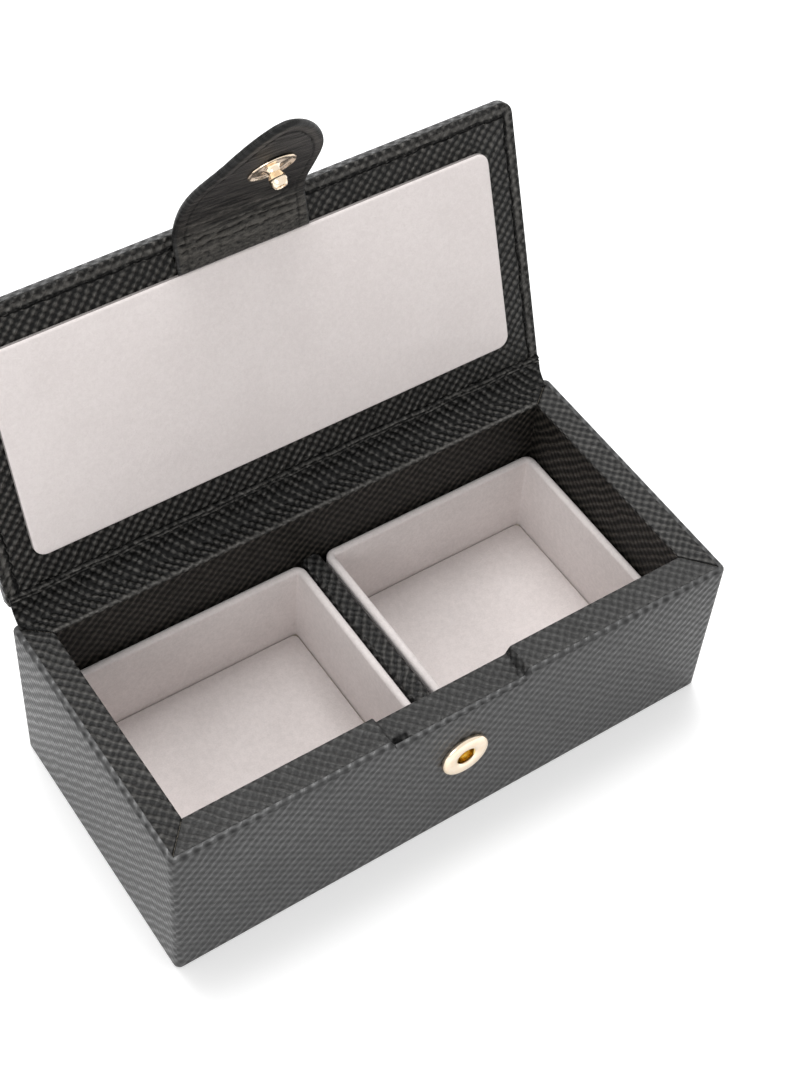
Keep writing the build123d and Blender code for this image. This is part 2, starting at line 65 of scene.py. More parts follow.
def tree_of(name):
    """A new material with its node tree and its shader."""
    material = bpy.data.materials.new(name)
    material.use_nodes = True
    tree = material.node_tree
    return material, tree, tree.nodes["Principled BSDF"]


def feed(tree, node, inputs):
    """Gives each of a node's inputs a value or another node's output."""
    for key, value in inputs.items():
        if isinstance(value, bpy.types.NodeSocket):
            tree.links.new(value, node.inputs[key])
        else:
            node.inputs[key].default_value = value


def put(tree, kind, inputs=None, **settings):
    """Adds a node with its inputs and settings."""
    node = tree.nodes.new("ShaderNode" + kind)
    for key, value in settings.items():
        setattr(node, key, value)
    feed(tree, node, inputs or {})
    return node


def times(tree, first, second, operation="MULTIPLY"):
    """Two numbers multiplied, or put together in another way."""
    return put(tree, "Math", {0: first, 1: second}, operation=operation).outputs[0]


def ray_is_seen(tree):
    """1 for a ray from the camera, a mirror or glass, which is to meet plain white."""
    path = put(tree, "LightPath")
    seen = path.outputs["Is Camera Ray"]
    for kind in ("Is Glossy Ray", "Is Transmission Ray"):
        seen = times(tree, seen, path.outputs[kind], "MAXIMUM")
    return seen


floor_white = 0.86
floor_lift = 0.30
material, tree, shader = tree_of("white_table")
feed(tree, shader, {
    "Base Color": (floor_white, floor_white, floor_white, 1), "Roughness": 0.9,
    "Specular IOR Level": 0.0, "Emission Color": (1, 1, 1, 1),
    "Emission Strength": times(tree, ray_is_seen(tree), floor_lift),
})
floor_mesh.materials.append(material)

world = bpy.data.worlds.new("studio")
bpy.context.scene.world = world
world.use_nodes = True
tree = world.node_tree
fill_strength = 0.70
seen = tree.nodes["Background"]
feed(tree, seen, {"Color": (1, 1, 1, 1), "Strength": 1.0})
fill = put(tree, "Background", {"Color": (1, 1, 1, 1), "Strength": fill_strength})
choose = put(
    tree, "MixShader", {"Fac": ray_is_seen(tree), 1: fill.outputs[0], 2: seen.outputs[0]}
)
tree.links.new(choose.outputs[0], tree.nodes["World Output"].inputs["Surface"])

box_middle = Vector((0, 0.01, 0.05))
for name, place, width, height, power in (
    ("overhead_softbox", (0.10, 0.42, 1.15), 0.7, 0.6, 11.5),
    ("front_softbox", (-1.05, -0.60, 0.70), 0.9, 0.7, 4.2),
):
    lamp = bpy.data.lights.new(name, "AREA")
    lamp.shape = "RECTANGLE"
    lamp.size = width
    lamp.size_y = height
    lamp.energy = power
    holder = bpy.data.objects.new(name, lamp)
    holder.location = place
    holder.rotation_euler = (box_middle - Vector(place)).to_track_quat("-Z", "Y").to_euler()
    bpy.context.scene.collection.objects.link(holder)

camera_place = Vector((-0.16688, -0.22080, 0.40839))
camera_forward = Vector((0.38737, 0.49837, -0.77561)).normalized()
camera_roll = math.radians(5.134)
lens = bpy.data.cameras.new("camera")
lens.sensor_width = 36.0
lens.lens = 69.309
camera = bpy.data.objects.new("camera", lens)
level = camera_forward.cross(Vector((0, 0, 1))).normalized()
upright = level.cross(camera_forward)
right = level * math.cos(camera_roll) + upright * math.sin(camera_roll)
up = right.cross(camera_forward)
turned = Matrix((right, up, -camera_forward)).transposed().to_4x4()
camera.matrix_world = Matrix.Translation(camera_place) @ turned
bpy.context.scene.collection.objects.link(camera)
bpy.context.scene.camera = camera
bpy.context.scene.view_settings.view_transform = "Standard"

# --- Boards, cards and cores ------------------------------
# The stiff boards inside the leather and suede: grey-brown pressed board with flecks of
# fibre, glued in between the skins.


def spread(tree, value, low, high, to_low=0.0, to_high=1.0):
    """Stretches the part of a value between low and high over a new range."""
    inputs = {"Value": value, 1: low, 2: high, 3: to_low, 4: to_high}
    return put(tree, "MapRange", inputs).outputs[0]


def plus(tree, first, second):
    """Two numbers added."""
    return times(tree, first, second, "ADD")


def speckle(tree, where, scale, detail):
    """The strength of a cloudy noise laid out by where."""
    inputs = {"Vector": where, "Scale": scale, "Detail": detail}
    return put(tree, "TexNoise", inputs).outputs["Fac"]


def between(tree, share, low, high):
    """A colour between two others."""
    mix = put(tree, "Mix", {0: share, 6: low, 7: high}, data_type="RGBA")
    return mix.outputs[2]


board_material, tree, shader = tree_of("pressed_board")
where = put(tree, "TexCoord").outputs["Object"]
fibre = speckle(tree, where, 1400.0, 3.0)
patch = speckle(tree, where, 90.0, 2.0)
tint = plus(tree, fibre, patch)
tint = spread(tree, tint, 0.7, 1.3)
tint = between(tree, tint, (0.30, 0.26, 0.20, 1), (0.48, 0.43, 0.35, 1))
bump = put(tree, "Bump", {"Height": fibre, "Distance": 0.00008, "Strength": 0.6})
feed(tree, shader, {"Base Color": tint, "Roughness": 0.85, "Normal": bump.outputs[0]})
slots = {part["node"]: part["material_slot"] for part in frame["record"]["subparts"]}
for name, node in nodes.items():
    if slots[name] == "board":
        node.data.materials.clear()
        node.data.materials.append(board_material)

# --- Leather of the case ----------------------------------
# One wrap of black cross-grain leather round the four walls, rolled over at the rim and
# turned under at the foot. It dips with the rim where the tab passes, and is glued down.
case_width, case_depth, case_height = 145.0, 69.4, 45.4
case_corner = 1.5
wrap_roll = 0.75
wrap_foot = 0.6
wrap_lip = 1.3
wrap_thickness = 0.55
recess_left, recess_right = -18.8, 17.6
recess_depth = 2.2
recess_ramp = 1.4
snap_place = Vector((0.9, -34.7, 27.0))
snap_hole = 3.0


def keep_piece(bm, name, body, finish, slot, *replaced):
    """Makes a piece of a mesh drawn in millimetres, and lets it ride on its body."""
    bmesh.ops.scale(bm, vec=(0.001, 0.001, 0.001), verts=bm.verts)
    mesh = bpy.data.meshes.new(name)
    bm.to_mesh(mesh)
    bm.free()
    mesh.shade_smooth()
    mesh.set_sharp_from_angle(angle=math.radians(38))
    mesh.materials.append(finish)
    piece = bpy.data.objects.new(name, mesh)
    bpy.context.scene.collection.objects.link(piece)
    if body:
        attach(piece, body)
    if replaced:
        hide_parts(*replaced)
    return piece


def lay_grain(bm, across=1, shift=(0.0, 0.0)):
    """Unrolls every face along the side it faces, in millimetres, to carry the grain."""
    grain = bm.loops.layers.uv.verify()
    bm.normal_update()
    for face in bm.faces:
        n = face.normal
        for loop in face.loops:
            at = loop.vert.co
            if abs(n.z) >= max(abs(n.x), abs(n.y)):
                spot = (at.x, at.y)
            elif abs(n.y) >= abs(n.x):
                spot = (-math.copysign(at.x, at.x * n.y), at.z)
            else:
                spot = (math.copysign(at.y, at.y * n.x), at.z)
            loop[grain].uv = (across * spot[0] + shift[0], spot[1] + shift[1])


def grained_mesh(*values):
    """A new mesh with a place for its grain, and a layer of points' values for each name."""
    bm = bmesh.new()
    bm.loops.layers.uv.new("grain")
    return bm, *(bm.verts.layers.float.new(value) for value in values)


def raise_face(bm, faces, height):
    """Draws faces out along Z by a height."""
    drawn = bmesh.ops.extrude_face_region(bm, geom=faces)["geom"]
    moved = [g for g in drawn if isinstance(g, bmesh.types.BMVert)]
    bmesh.ops.translate(bm, vec=(0, 0, height), verts=moved)


def outline_prism(width, depth, height, corners, step):
    """A prism whose outline has rounded corners and a vertex every step along its sides.
    corners are the radii from the front left one round to the back left one."""
    bm = bmesh.new()
    bm.loops.layers.uv.new("grain")
    bmesh.ops.create_grid(bm, x_segments=1, y_segments=1, size=0.5)
    bmesh.ops.scale(bm, vec=(width, depth, 1), verts=bm.verts)
    places = ((-1, -1), (1, -1), (1, 1), (-1, 1))
    for (sx, sy), radius in zip(places, corners):
        tip = max(bm.verts, key=lambda v: sx * v.co.x * depth + sy * v.co.y * width)
        bmesh.ops.bevel(
            bm, geom=[tip], offset=radius, segments=6, profile=0.5,
            affect="VERTICES", material=-1,
        )
    for edge in list(bm.edges):
        cuts = round(edge.calc_length() / step) - 1
        if cuts > 0:
            bmesh.ops.subdivide_edges(bm, edges=[edge], cuts=cuts)
    raise_face(bm, bm.faces[:], height)
    bmesh.ops.recalc_face_normals(bm, faces=bm.faces)
    return bm


def flat_face(bm, top):
    """The largest of a shape's highest or lowest faces."""
    up = 1 if top else -1
    return max(bm.faces, key=lambda f: (round(up * f.calc_center_median().z, 3), f.calc_area()))


def roll_edge(bm, face, radius, segments):
    """Rounds the edges round a face."""
    bmesh.ops.bevel(
        bm, geom=list(face.edges), offset=radius, segments=segments, profile=0.5,
        affect="EDGES", material=-1, clamp_overlap=False,
    )


def step_in(bm, face, low, high):
    """A second outline inside a face, drawn in to the rectangle from low to high."""
    new = bmesh.ops.extrude_discrete_faces(bm, faces=[face])["faces"][0]
    for v in new.verts:
        v.co.x = min(max(v.co.x, low[0]), high[0])
        v.co.y = min(max(v.co.y, low[1]), high[1])
    bmesh.ops.remove_doubles(bm, verts=new.verts[:], dist=0.001)


def cut_across(bm, place, direction):
    """Cuts every face along a plane, which adds vertices there and removes nothing."""
    bmesh.ops.bisect_plane(
        bm, geom=bm.verts[:] + bm.edges[:] + bm.faces[:], plane_co=place, plane_no=direction
    )


def dip(x):
    """How far the front rim drops at x for the tab's recess."""
    rise = min((x - recess_left) / recess_ramp, (recess_right - x) / recess_ramp)
    t = min(max(rise, 0.0), 1.0)
    return recess_depth * t * t * (3 - 2 * t)


def carried(tree, name):
    """A value that the mesh carries in an attribute."""
    return put(tree, "Attribute", attribute_name=name).outputs["Fac"]


wave_unit = 0.314  # the period of a wave texture is this over its scale
grain_lean = math.radians(-48)


def grain_leather(name, groove, top, gloss, relief, pitch, crossing, low, high, specular):
    """Black cross-grain leather: pressed ridges that lean one way, cut by fainter ones the
    other way, so that they break into rows of dashes, or of dots where crossing is high.
    The light colour of the ridge tops is partly a painted highlight for their glints. The edge
    attribute deepens the grain at folds; one carried value paints shade into creases, seams
    and gaps, down to near black, and another adds painted highlights to the tone."""
    material, tree, shader = tree_of(name)
    grain = put(tree, "UVMap", uv_map="grain").outputs["UV"]
    drift = put(tree, "TexNoise", {"Vector": grain, "Scale": 0.14, "Detail": 3.0})
    push = put(
        tree, "VectorMath", {0: drift.outputs["Color"], 1: (0.5, 0.5, 0.5)},
        operation="SUBTRACT",
    )
    push = put(tree, "VectorMath", {0: push.outputs[0], "Scale": 1.7}, operation="SCALE")
    laid = put(tree, "VectorMath", {0: grain, 1: push.outputs[0]}).outputs[0]
    turned = put(tree, "Mapping", {"Vector": laid, "Rotation": (0, 0, grain_lean)}).outputs[0]
    bands = {"Vector": turned, "Distortion": 0.7, "Detail": 2.0, "Detail Scale": 2.2}
    rows = put(
        tree, "TexWave", {**bands, "Scale": wave_unit / pitch}, wave_type="BANDS",
        bands_direction="Y",
    ).outputs["Fac"]
    rungs = put(
        tree, "TexWave", {**bands, "Scale": wave_unit / (0.86 * pitch)}, wave_type="BANDS",
        bands_direction="X",
    ).outputs["Fac"]
    long_way = put(tree, "Mapping", {"Vector": turned, "Scale": (0.40, 1.9, 1)}).outputs[0]
    dashes = speckle(tree, long_way, 0.9, 2.0)
    dashes = spread(tree, dashes, 0.34, 0.66)
    pebble = speckle(tree, laid, 2.2, 3.0)
    sharp = times(tree, rows, 1.4, "POWER")
    ridge = times(tree, sharp, spread(tree, dashes, 0, 1, 0.45, 1.0))
    ridge = plus(tree, times(tree, ridge, 0.72), times(tree, rungs, 0.28))
    square = times(tree, times(tree, rows, 1.1, "POWER"), times(tree, rungs, 0.8, "POWER"))
    dots = times(tree, square, spread(tree, dashes, 0, 1, 0.35, 1.25))
    height = plus(tree, times(tree, ridge, 1 - crossing), times(tree, dots, crossing))
    height = plus(tree, times(tree, height, 0.84), times(tree, pebble, 0.24))
    edge = carried(tree, "edge")
    crease_shade = carried(tree, "crease_shade")
    deep = spread(tree, edge, -1, 1, 0.0, 2.0)
    patch = speckle(tree, grain, 0.05, 2.0)
    patch = spread(tree, patch, 0.3, 0.7, 0.85, 1.15)
    grain_and_highlight = times(tree, spread(tree, height, low, high), patch)
    # Painted highlight added to the grain's tone.
    grain_and_highlight = plus(tree, grain_and_highlight, carried(tree, "painted_highlight"))
    # The light ridge-top colour is partly a painted highlight for the ridges' glints.
    tone = between(tree, grain_and_highlight, groove, top)
    # Painted shade: creases, seams and gaps are darkened to near black.
    tone = between(tree, crease_shade, tone, (0.0015, 0.0015, 0.0015, 1))
    gloss = spread(tree, height, 0.1, 0.9, gloss + 0.2, gloss - 0.05)
    lifted = times(tree, height, deep)
    bump = put(tree, "Bump", {"Height": lifted, "Distance": relief, "Strength": 1.0})
    feed(tree, shader, {
        "Base Color": tone, "Roughness": plus(tree, gloss, times(tree, crease_shade, 0.5)),
        "Specular IOR Level": specular, "Normal": bump.outputs[0],
    })
    return material


case_leather = grain_leather(
    "case_leather", (0.009, 0.009, 0.009, 1), (0.086, 0.086, 0.086, 1), 0.34, 0.00036,
    pitch=2.2, crossing=0.10, low=0.14, high=0.82, specular=0.38,
)
bm = outline_prism(case_width, case_depth, case_height, [case_corner] * 4, 0.5)
roll_edge(bm, flat_face(bm, True), wrap_roll, 3)
roll_edge(bm, flat_face(bm, False), wrap_foot, 2)
inner = (case_width / 2 - wrap_lip, case_depth / 2 - wrap_lip)
for top in (True, False):
    step_in(bm, flat_face(bm, top), (-inner[0], -inner[1]), inner)
    bmesh.ops.delete(bm, geom=[flat_face(bm, top)], context="FACES")
for level in (snap_place.z - snap_hole, snap_place.z + snap_hole):
    cut_across(bm, (0, 0, level), (0, 0, 1))
behind_snap = [
    f for f in bm.faces
    if f.normal.y < -0.9
    and abs(f.calc_center_median().x - snap_place.x) < snap_hole
    and abs(f.calc_center_median().z - snap_place.z) < snap_hole
]
bmesh.ops.delete(bm, geom=behind_snap, context="FACES")
bmesh.ops.solidify(bm, geom=bm.faces[:], thickness=wrap_thickness)
edge = bm.verts.layers.float.new("edge")
for v in bm.verts:
    if v.co.z > case_height - 2.0:
        v[edge] = -0.6
        if v.co.y < -case_depth / 2 + 3.0:
            v.co.z -= dip(v.co.x)
lay_grain(bm)
keep_piece(bm, "case_wrap", "base", case_leather, "grained_leather", "outer_wrap")

# --- Leather under the case -------------------------------
# A plain sheet of the same leather that closes the underside, glued over the wrap's
# turned-under edge.
base_sheet_height = 0.6
bm = outline_prism(case_width - 1.6, case_depth - 1.6, base_sheet_height, [1.0] * 4, 1.0)
roll_edge(bm, flat_face(bm, False), 0.25, 2)
lay_grain(bm, shift=(11.0, 5.0))
keep_piece(bm, "base_sheet", "base", case_leather, "grained_leather", "base_cover")

# --- Rim strips -------------------------------------------
# Four strips of leather are glued on the rim, mitred at the corners, with rolled edges. The
# front one has a seam along its outer edge and dips into the recess, where its ends are torn
# and bunched. The back one is pleated where the hinge leather starts.
# The dark mitred ends, seam, tears, splits and ramps of the strips are painted shade, and the
# front's bead and the back's pleats carry painted highlights.
rim_top = 45.4
strip_thickness = 0.55
strip_roll = 0.5
mitre = 0.07
rim_lip = 0.75
front_lip = 1.0
seam_width = 0.42
bead_in, bead_width = 0.8, 0.3
pleat_in, pleat_width = 0.45, 0.35
torn_in, torn_long, torn_wide = 2.4, 3.0, 2.5
split_in = 1.3
fold_in, fold_width, fold_reach = 0.5, 0.25, 5.5
half_width, half_depth = case_width / 2, case_depth / 2
well_left, well_right, well_front, well_back = -65.1, 65.1, -26.2, 28.5


def rolled(distance, radius):
    """How far a soft edge has dropped at a distance inside it."""
    if distance >= radius:
        return 0.0
    return radius - math.sqrt(max(radius**2 - (radius - distance) ** 2, 0.0))


def uneven(x, y, seed):
    """A smooth unevenness of either sign; each seed gives another pattern."""
    return noise.noise(Vector((x, y, seed)))


def bell(distance, width):
    """1 in the middle of a soft row, falling off over its width."""
    return math.exp(-((distance / width) ** 2))


def face_up(bm):
    """Makes the faces of a flat sheet look upwards."""
    bmesh.ops.recalc_face_normals(bm, faces=bm.faces)
    if bm.faces[:][0].normal.z < 0:
        bmesh.ops.reverse_faces(bm, faces=bm.faces)


def rim_strip(name, outer_start, outer_end, inner_start, inner_end, columns, finish):
    """A mitred strip, laid as a grid between its four corners."""
    bm, edge, crease_shade, painted_highlight = grained_mesh("edge", "crease_shade", "painted_highlight")
    bmesh.ops.create_grid(bm, x_segments=columns, y_segments=22, size=0.5)
    a, b = Vector(outer_start), Vector(outer_end)
    c, d = Vector(inner_start), Vector(inner_end)
    along = (b - a).normalized()
    width = abs((c - a).x * along.y - (c - a).y * along.x)
    for v in bm.verts:
        s = v.co.x + 0.5
        q = 0.5 - 0.5 * math.cos(math.pi * (v.co.y + 0.5))
        start, end = a.lerp(c, q), b.lerp(d, q)
        length = (end - start).length
        from_end = min(s, 1 - s) * length
        spot = start.lerp(end, s)
        across = q * width
        drop = rolled(across, strip_roll) + rolled(width - across, strip_roll)
        drop = min(drop + 0.7 * rolled(from_end, 0.4), strip_roll)
        wave = uneven(spot.x * 0.5, spot.y * 0.5, 3.0)
        fine = uneven(spot.x * 1.6, spot.y * 1.6, 7.0)
        rim_near = max(0.0, 1.0 - across / 1.2)
        z = rim_top - drop + 0.05 * (wave - 0.4) + 0.03 * (fine - 0.4)
        v[edge] = 0.25 + 0.75 * rim_near
        # Painted shade in the mitred joints at the strip's ends.
        v[crease_shade] = max(0.0, 1.0 - from_end / 0.25) * 0.9
        pleat = bell(width - across - pleat_in, pleat_width)
        tick = uneven(spot.x * 1.5, spot.y * 1.5, 9.0)
        # Painted highlight on the pleats' folds.
        if name == "rim_back":
            v[painted_highlight] = max(0.0, pleat * (0.55 + 0.8 * tick))
            z += 0.10 * pleat * tick
        if name == "rim_front":
            fall = dip(spot.x)
            # Painted shade in the seam, the tears, the splits, the fold and down the recess's
            # ramps, broken up by noise.
            seam = max(0.0, 1.0 - across / seam_width) * min(1.0, max(0.0, 0.55 + 1.7 * tick))
            v[crease_shade] = max(v[crease_shade], seam)
            # Painted highlight along the bead of the rolled edge.
            bead = bell(across - bead_in, bead_width)
            v[painted_highlight] = max(0.0, 0.35 * bead * (0.6 + tick))
            patch = uneven(spot.x * 0.9, across * 0.9, 4.0)
            torn = math.hypot((spot.x - recess_left - torn_in) / torn_long, across / torn_wide)
            torn = min(1.0, max(0.0, 2.6 * (1.0 - torn + 0.6 * patch)))
            bent = spot.x - recess_right + split_in - 0.22 * (across - 4.0) + 0.5 * patch
            split = bell(bent, 0.28 + 0.25 * rim_near)
            fold = spot.x - recess_left - fold_in + 0.6 * patch
            fold = 0.8 * bell(fold, fold_width) * max(0.0, 1 - across / fold_reach)
            split = max(split, fold)
            v[crease_shade] = max(v[crease_shade], torn, min(1.0, split * (0.75 + 0.8 * tick)))
            z -= 0.35 * torn * (0.6 + 1.2 * fine) + 0.25 * split
            ramp = min(fall, recess_depth - fall) / recess_depth * 2
            bunched = 0.5 + uneven(spot.x * 1.1, spot.y * 0.9, 1.0)
            z -= fall + ramp * 0.5 * bunched
            v[edge] = max(v[edge], ramp)
            v[crease_shade] = max(v[crease_shade], min(1.0, ramp * (1.3 * rim_near + 0.35 * fine + 0.2)))
        v.co = Vector((spot.x, spot.y, min(z, rim_top)))
    face_up(bm)
    bmesh.ops.solidify(bm, geom=bm.faces[:], thickness=strip_thickness)
    lay_grain(bm, across=-1)
    solid = name.replace("rim_", "rim_strip_")
    keep_piece(bm, name, "base", finish, "grained_leather", solid)


rim_leather = grain_leather(
    "rim_leather", (0.008, 0.008, 0.008, 1), (0.084, 0.083, 0.081, 1), 0.34, 0.00046,
    pitch=1.9, crossing=0.22, low=0.05, high=1.0, specular=0.24,
)
hinge_leather = grain_leather(
    "hinge_leather", (0.002, 0.002, 0.0018, 1), (0.125, 0.120, 0.112, 1), 0.28, 0.00055,
    pitch=1.85, crossing=0.4, low=0.30, high=1.05, specular=0.15,
)
side_leather = grain_leather(
    "side_leather", (0.004, 0.004, 0.004, 1), (0.110, 0.107, 0.102, 1), 0.32, 0.00050,
    pitch=1.9, crossing=0.3, low=0.18, high=1.0, specular=0.2,
)
out_x, out_front, out_back = half_width - rim_lip, -half_depth + front_lip, half_depth - rim_lip
rim_strip(
    "rim_front", (-out_x + mitre, out_front), (out_x - mitre, out_front),
    (well_left + mitre, well_front), (well_right - mitre, well_front), 430, rim_leather,
)
rim_strip(
    "rim_back", (out_x - mitre, out_back), (-out_x + mitre, out_back),
    (well_right - mitre, well_back), (well_left + mitre, well_back), 290, hinge_leather,
)
rim_strip(
    "rim_left", (-out_x, out_back - mitre), (-out_x, out_front + mitre),
    (well_left, well_back - mitre), (well_left, well_front + mitre), 130, side_leather,
)
rim_strip(
    "rim_right", (out_x, out_front + mitre), (out_x, out_back - mitre),
    (well_right, well_front + mitre), (well_right, well_back - mitre), 130, side_leather,
)

# --- Black lining of the well -----------------------------
# Thin black leather with a fine slanting grain, glued to the walls and floor of the well.
lining_thickness = 0.45
lining_bottom = 3.1
lining_top = 44.9
lining_leather = grain_leather(
    "lining_leather", (0.002, 0.002, 0.0018, 1), (0.050, 0.045, 0.038, 1), 0.42, 0.00034,
    pitch=2.0, crossing=0.1, low=0.22, high=0.8, specular=0.12,
)
bm = outline_prism(
    well_right - well_left + 0.9, well_back - well_front + 0.9, lining_top - lining_bottom,
    [0.5] * 4, 0.5,
)
middle = Vector(((well_left + well_right) / 2, (well_front + well_back) / 2, lining_bottom))
bmesh.ops.translate(bm, vec=middle, verts=bm.verts)
bmesh.ops.delete(bm, geom=[flat_face(bm, True)], context="FACES")
bmesh.ops.solidify(bm, geom=bm.faces[:], thickness=lining_thickness)
for v in bm.verts:
    if v.co.z > lining_top - 2.0 and v.co.y < well_front + 2.0:
        v.co.z -= dip(v.co.x)
lay_grain(bm)
keep_piece(
    bm, "well_lining", "base", lining_leather, "lining_leather",
    "well_wall_lining", "well_floor_lining",
)

# --- Divider ----------------------------------------------
# A thin board between the trays under pebbled black leather with a rounded top edge.
divider_left, divider_right = -1.6, 3.4
divider_bottom, divider_top = 3.6, 28.8
divider_round = 1.6
bm = bmesh.new()
bm.loops.layers.uv.new("grain")
bmesh.ops.create_cube(bm, size=1.0)
size = Vector(
    (divider_right - divider_left, well_back - well_front - 0.1, divider_top - divider_bottom)
)
bmesh.ops.scale(bm, vec=size, verts=bm.verts)
place = (
    (divider_left + divider_right) / 2, (well_front + well_back) / 2,
    (divider_bottom + divider_top) / 2,
)
bmesh.ops.translate(bm, vec=place, verts=bm.verts)
long_top = [
    e for e in bm.edges
    if min(v.co.z for v in e.verts) > divider_top - 0.1
    and abs(e.verts[0].co.y - e.verts[1].co.y) > 1.0
]
bmesh.ops.bevel(
    bm, geom=long_top, offset=divider_round, segments=5, profile=0.5, affect="EDGES", material=-1
)
for step in range(1, 110):
    cut_across(bm, (0, well_front + step * 0.5, 0), (0, 1, 0))
edge = bm.verts.layers.float.new("edge")
for v in bm.verts:
    if v.co.z > divider_top - 2.5:
        v[edge] = 0.45
        v.co.x += 0.12 * uneven(v.co.x, v.co.y * 0.35, 2.0)
lay_grain(bm)
keep_piece(bm, "divider_leather", "base", side_leather, "grained_leather", "divider_cover")

# --- Lift-out trays ---------------------------------------
# Two open trays of card covered with pale suede, thin walled with a rounded rim, and each
# has a loose-cut suede pad on its floor with a narrow dark gap round it.
tray_bottom, tray_top = 3.6, 28.8
tray_front, tray_back = -25.7, 28.0
tray_wall = 2.1
tray_rim = 0.95
tray_floor = 3.9
tray_pad_top = 5.0
tray_corner = 2.6
tray_inside_corner = 1.6
tray_pad_gap = 0.28
tray_pad_round = 0.25


def suede(name, light, dark):
    """Pale suede: a short nap, mottled where it has been brushed one way or the other."""
    material, tree, shader = tree_of(name)
    where = put(tree, "TexCoord").outputs["Object"]
    nap = speckle(tree, where, 2600.0, 3.0)
    fleck = speckle(tree, where, 900.0, 2.0)
    brushed = speckle(tree, where, 70.0, 3.0)
    mottle = plus(tree, nap, fleck)
    mottle = plus(tree, mottle, times(tree, brushed, 0.8))
    fuzz = plus(tree, nap, fleck)
    bump = put(tree, "Bump", {"Height": fuzz, "Distance": 0.00010, "Strength": 0.7})
    feed(tree, shader, {
        "Base Color": between(tree, spread(tree, mottle, 1.1, 1.7), dark, light),
        "Roughness": 0.95, "Specular IOR Level": 0.2, "Sheen Weight": 0.25,
        "Sheen Roughness": 0.5, "Normal": bump.outputs[0],
    })
    return material


tray_suede = suede("tray_suede", (0.74, 0.685, 0.67, 1), (0.65, 0.60, 0.585, 1))
for tray, left, right in (("tray_left", -64.6, -2.1), ("tray_right", 3.9, 64.6)):
    width, depth = right - left, tray_back - tray_front
    centre = ((left + right) / 2, (tray_front + tray_back) / 2)
    bm = outline_prism(width, depth, tray_top - tray_bottom, [tray_corner] * 4, 4.0)
    rim = flat_face(bm, True)
    bmesh.ops.inset_region(bm, faces=[rim], thickness=tray_wall, use_even_offset=True)
    sunk = bmesh.ops.extrude_face_region(bm, geom=[rim])["geom"]
    bmesh.ops.delete(bm, geom=[rim], context="FACES_ONLY")
    down = tray_floor - tray_top
    bmesh.ops.translate(
        bm, vec=(0, 0, down), verts=[g for g in sunk if isinstance(g, bmesh.types.BMVert)]
    )
    bmesh.ops.recalc_face_normals(bm, faces=bm.faces)
    top_level = tray_top - tray_bottom
    rim_edges = [
        e for e in bm.edges
        if all(abs(v.co.z - top_level) < 0.001 for v in e.verts)
        and any(abs(f.normal.z) < 0.5 for f in e.link_faces)
    ]
    bmesh.ops.bevel(
        bm, geom=rim_edges, offset=tray_rim, segments=4, profile=0.5, affect="EDGES",
        material=-1, clamp_overlap=False,
    )
    bmesh.ops.translate(bm, vec=(centre[0], centre[1], tray_bottom), verts=bm.verts)
    keep_piece(bm, f"{tray}_shell", tray, tray_suede, "suede", f"{tray}_cover")

    pad_inset = tray_wall + tray_pad_gap
    bm = outline_prism(
        width - 2 * pad_inset, depth - 2 * pad_inset, tray_pad_top - tray_floor,
        [tray_inside_corner] * 4, 4.0,
    )
    roll_edge(bm, flat_face(bm, True), tray_pad_round, 3)
    bmesh.ops.translate(bm, vec=(centre[0], centre[1], tray_floor), verts=bm.verts)
    keep_piece(bm, f"{tray}_floor", tray, tray_suede, "suede", f"{tray}_pad")

# --- Lid leather ------------------------------------------
# The lid is a board in one wrap of the case's leather, rolled over its edges and turned in
# all round its inner face. The turned-in part is lumpy and more dotted, with painted highlights
# on the lumps; it has a broken crease and meets the inner sheet in another, both painted shade.
lid_width, lid_length, lid_thickness = 142.8, 69.4, 3.5
lid_open = math.radians(109.0)
hinge_y, hinge_z = 36.7, 46.2
hinge_back, hinge_rise = 2.0, 0.8
lid_turn_in = 2.8
lid_roll = 0.95
lid_inner_roll = 0.6
sheet_sunk = 0.55
lump_out, lump_width = 1.1, 0.7
crease_row_out, crease_row_width = 1.9, 0.22
waver_size, waver_reach = 0.7, 1.5
lid_along = Vector((0, -math.cos(lid_open), math.sin(lid_open)))
lid_inward = Vector((0, -math.sin(lid_open), -math.cos(lid_open)))
lid_start = Vector((0, hinge_y, hinge_z)) + hinge_back * lid_along + hinge_rise * lid_inward
lid_frame = Matrix((Vector((1, 0, 0)), lid_along, lid_inward)).transposed().to_4x4()
lid_frame = Matrix.Translation(lid_start) @ lid_frame


def waver(spot, amount):
    """A small uneven shift along the leather, the same for two edges that meet."""
    shifts = []
    for seed in (11.0, 20.0):
        slow = uneven(spot.x * 0.22, spot.y * 0.22, seed)
        shifts.append(slow + 0.45 * uneven(spot.x * 0.9, spot.y * 0.9, seed + 6.0))
    return amount * Vector((*shifts, 0))


def within(spot, low, high):
    """How far a point lies inside the rectangle from low to high."""
    return min(spot.x - low[0], high[0] - spot.x, spot.y - low[1], high[1] - spot.y)


lid_leather = grain_leather(
    "lid_leather", (0.002, 0.002, 0.0018, 1), (0.150, 0.143, 0.132, 1), 0.28, 0.00055,
    pitch=1.85, crossing=0.55, low=0.20, high=1.1, specular=0.17,
)
inner_low = (-lid_width / 2 + lid_turn_in, lid_turn_in - lid_length / 2)
inner_high = (lid_width / 2 - lid_turn_in, lid_length / 2 - lid_turn_in)
bm = outline_prism(lid_width, lid_length, lid_thickness, [1.2, 1.2, 3.0, 3.0], 0.45)
bmesh.ops.translate(bm, vec=(0, 0, -lid_thickness), verts=bm.verts)
roll_edge(bm, flat_face(bm, False), lid_roll, 4)
roll_edge(bm, flat_face(bm, True), lid_inner_roll, 3)
for ring in (0.95, 1.35, 1.75, 2.15, 2.5):
    low = (ring - lid_width / 2, ring - lid_length / 2)
    step_in(bm, flat_face(bm, True), low, (-low[0], -low[1]))
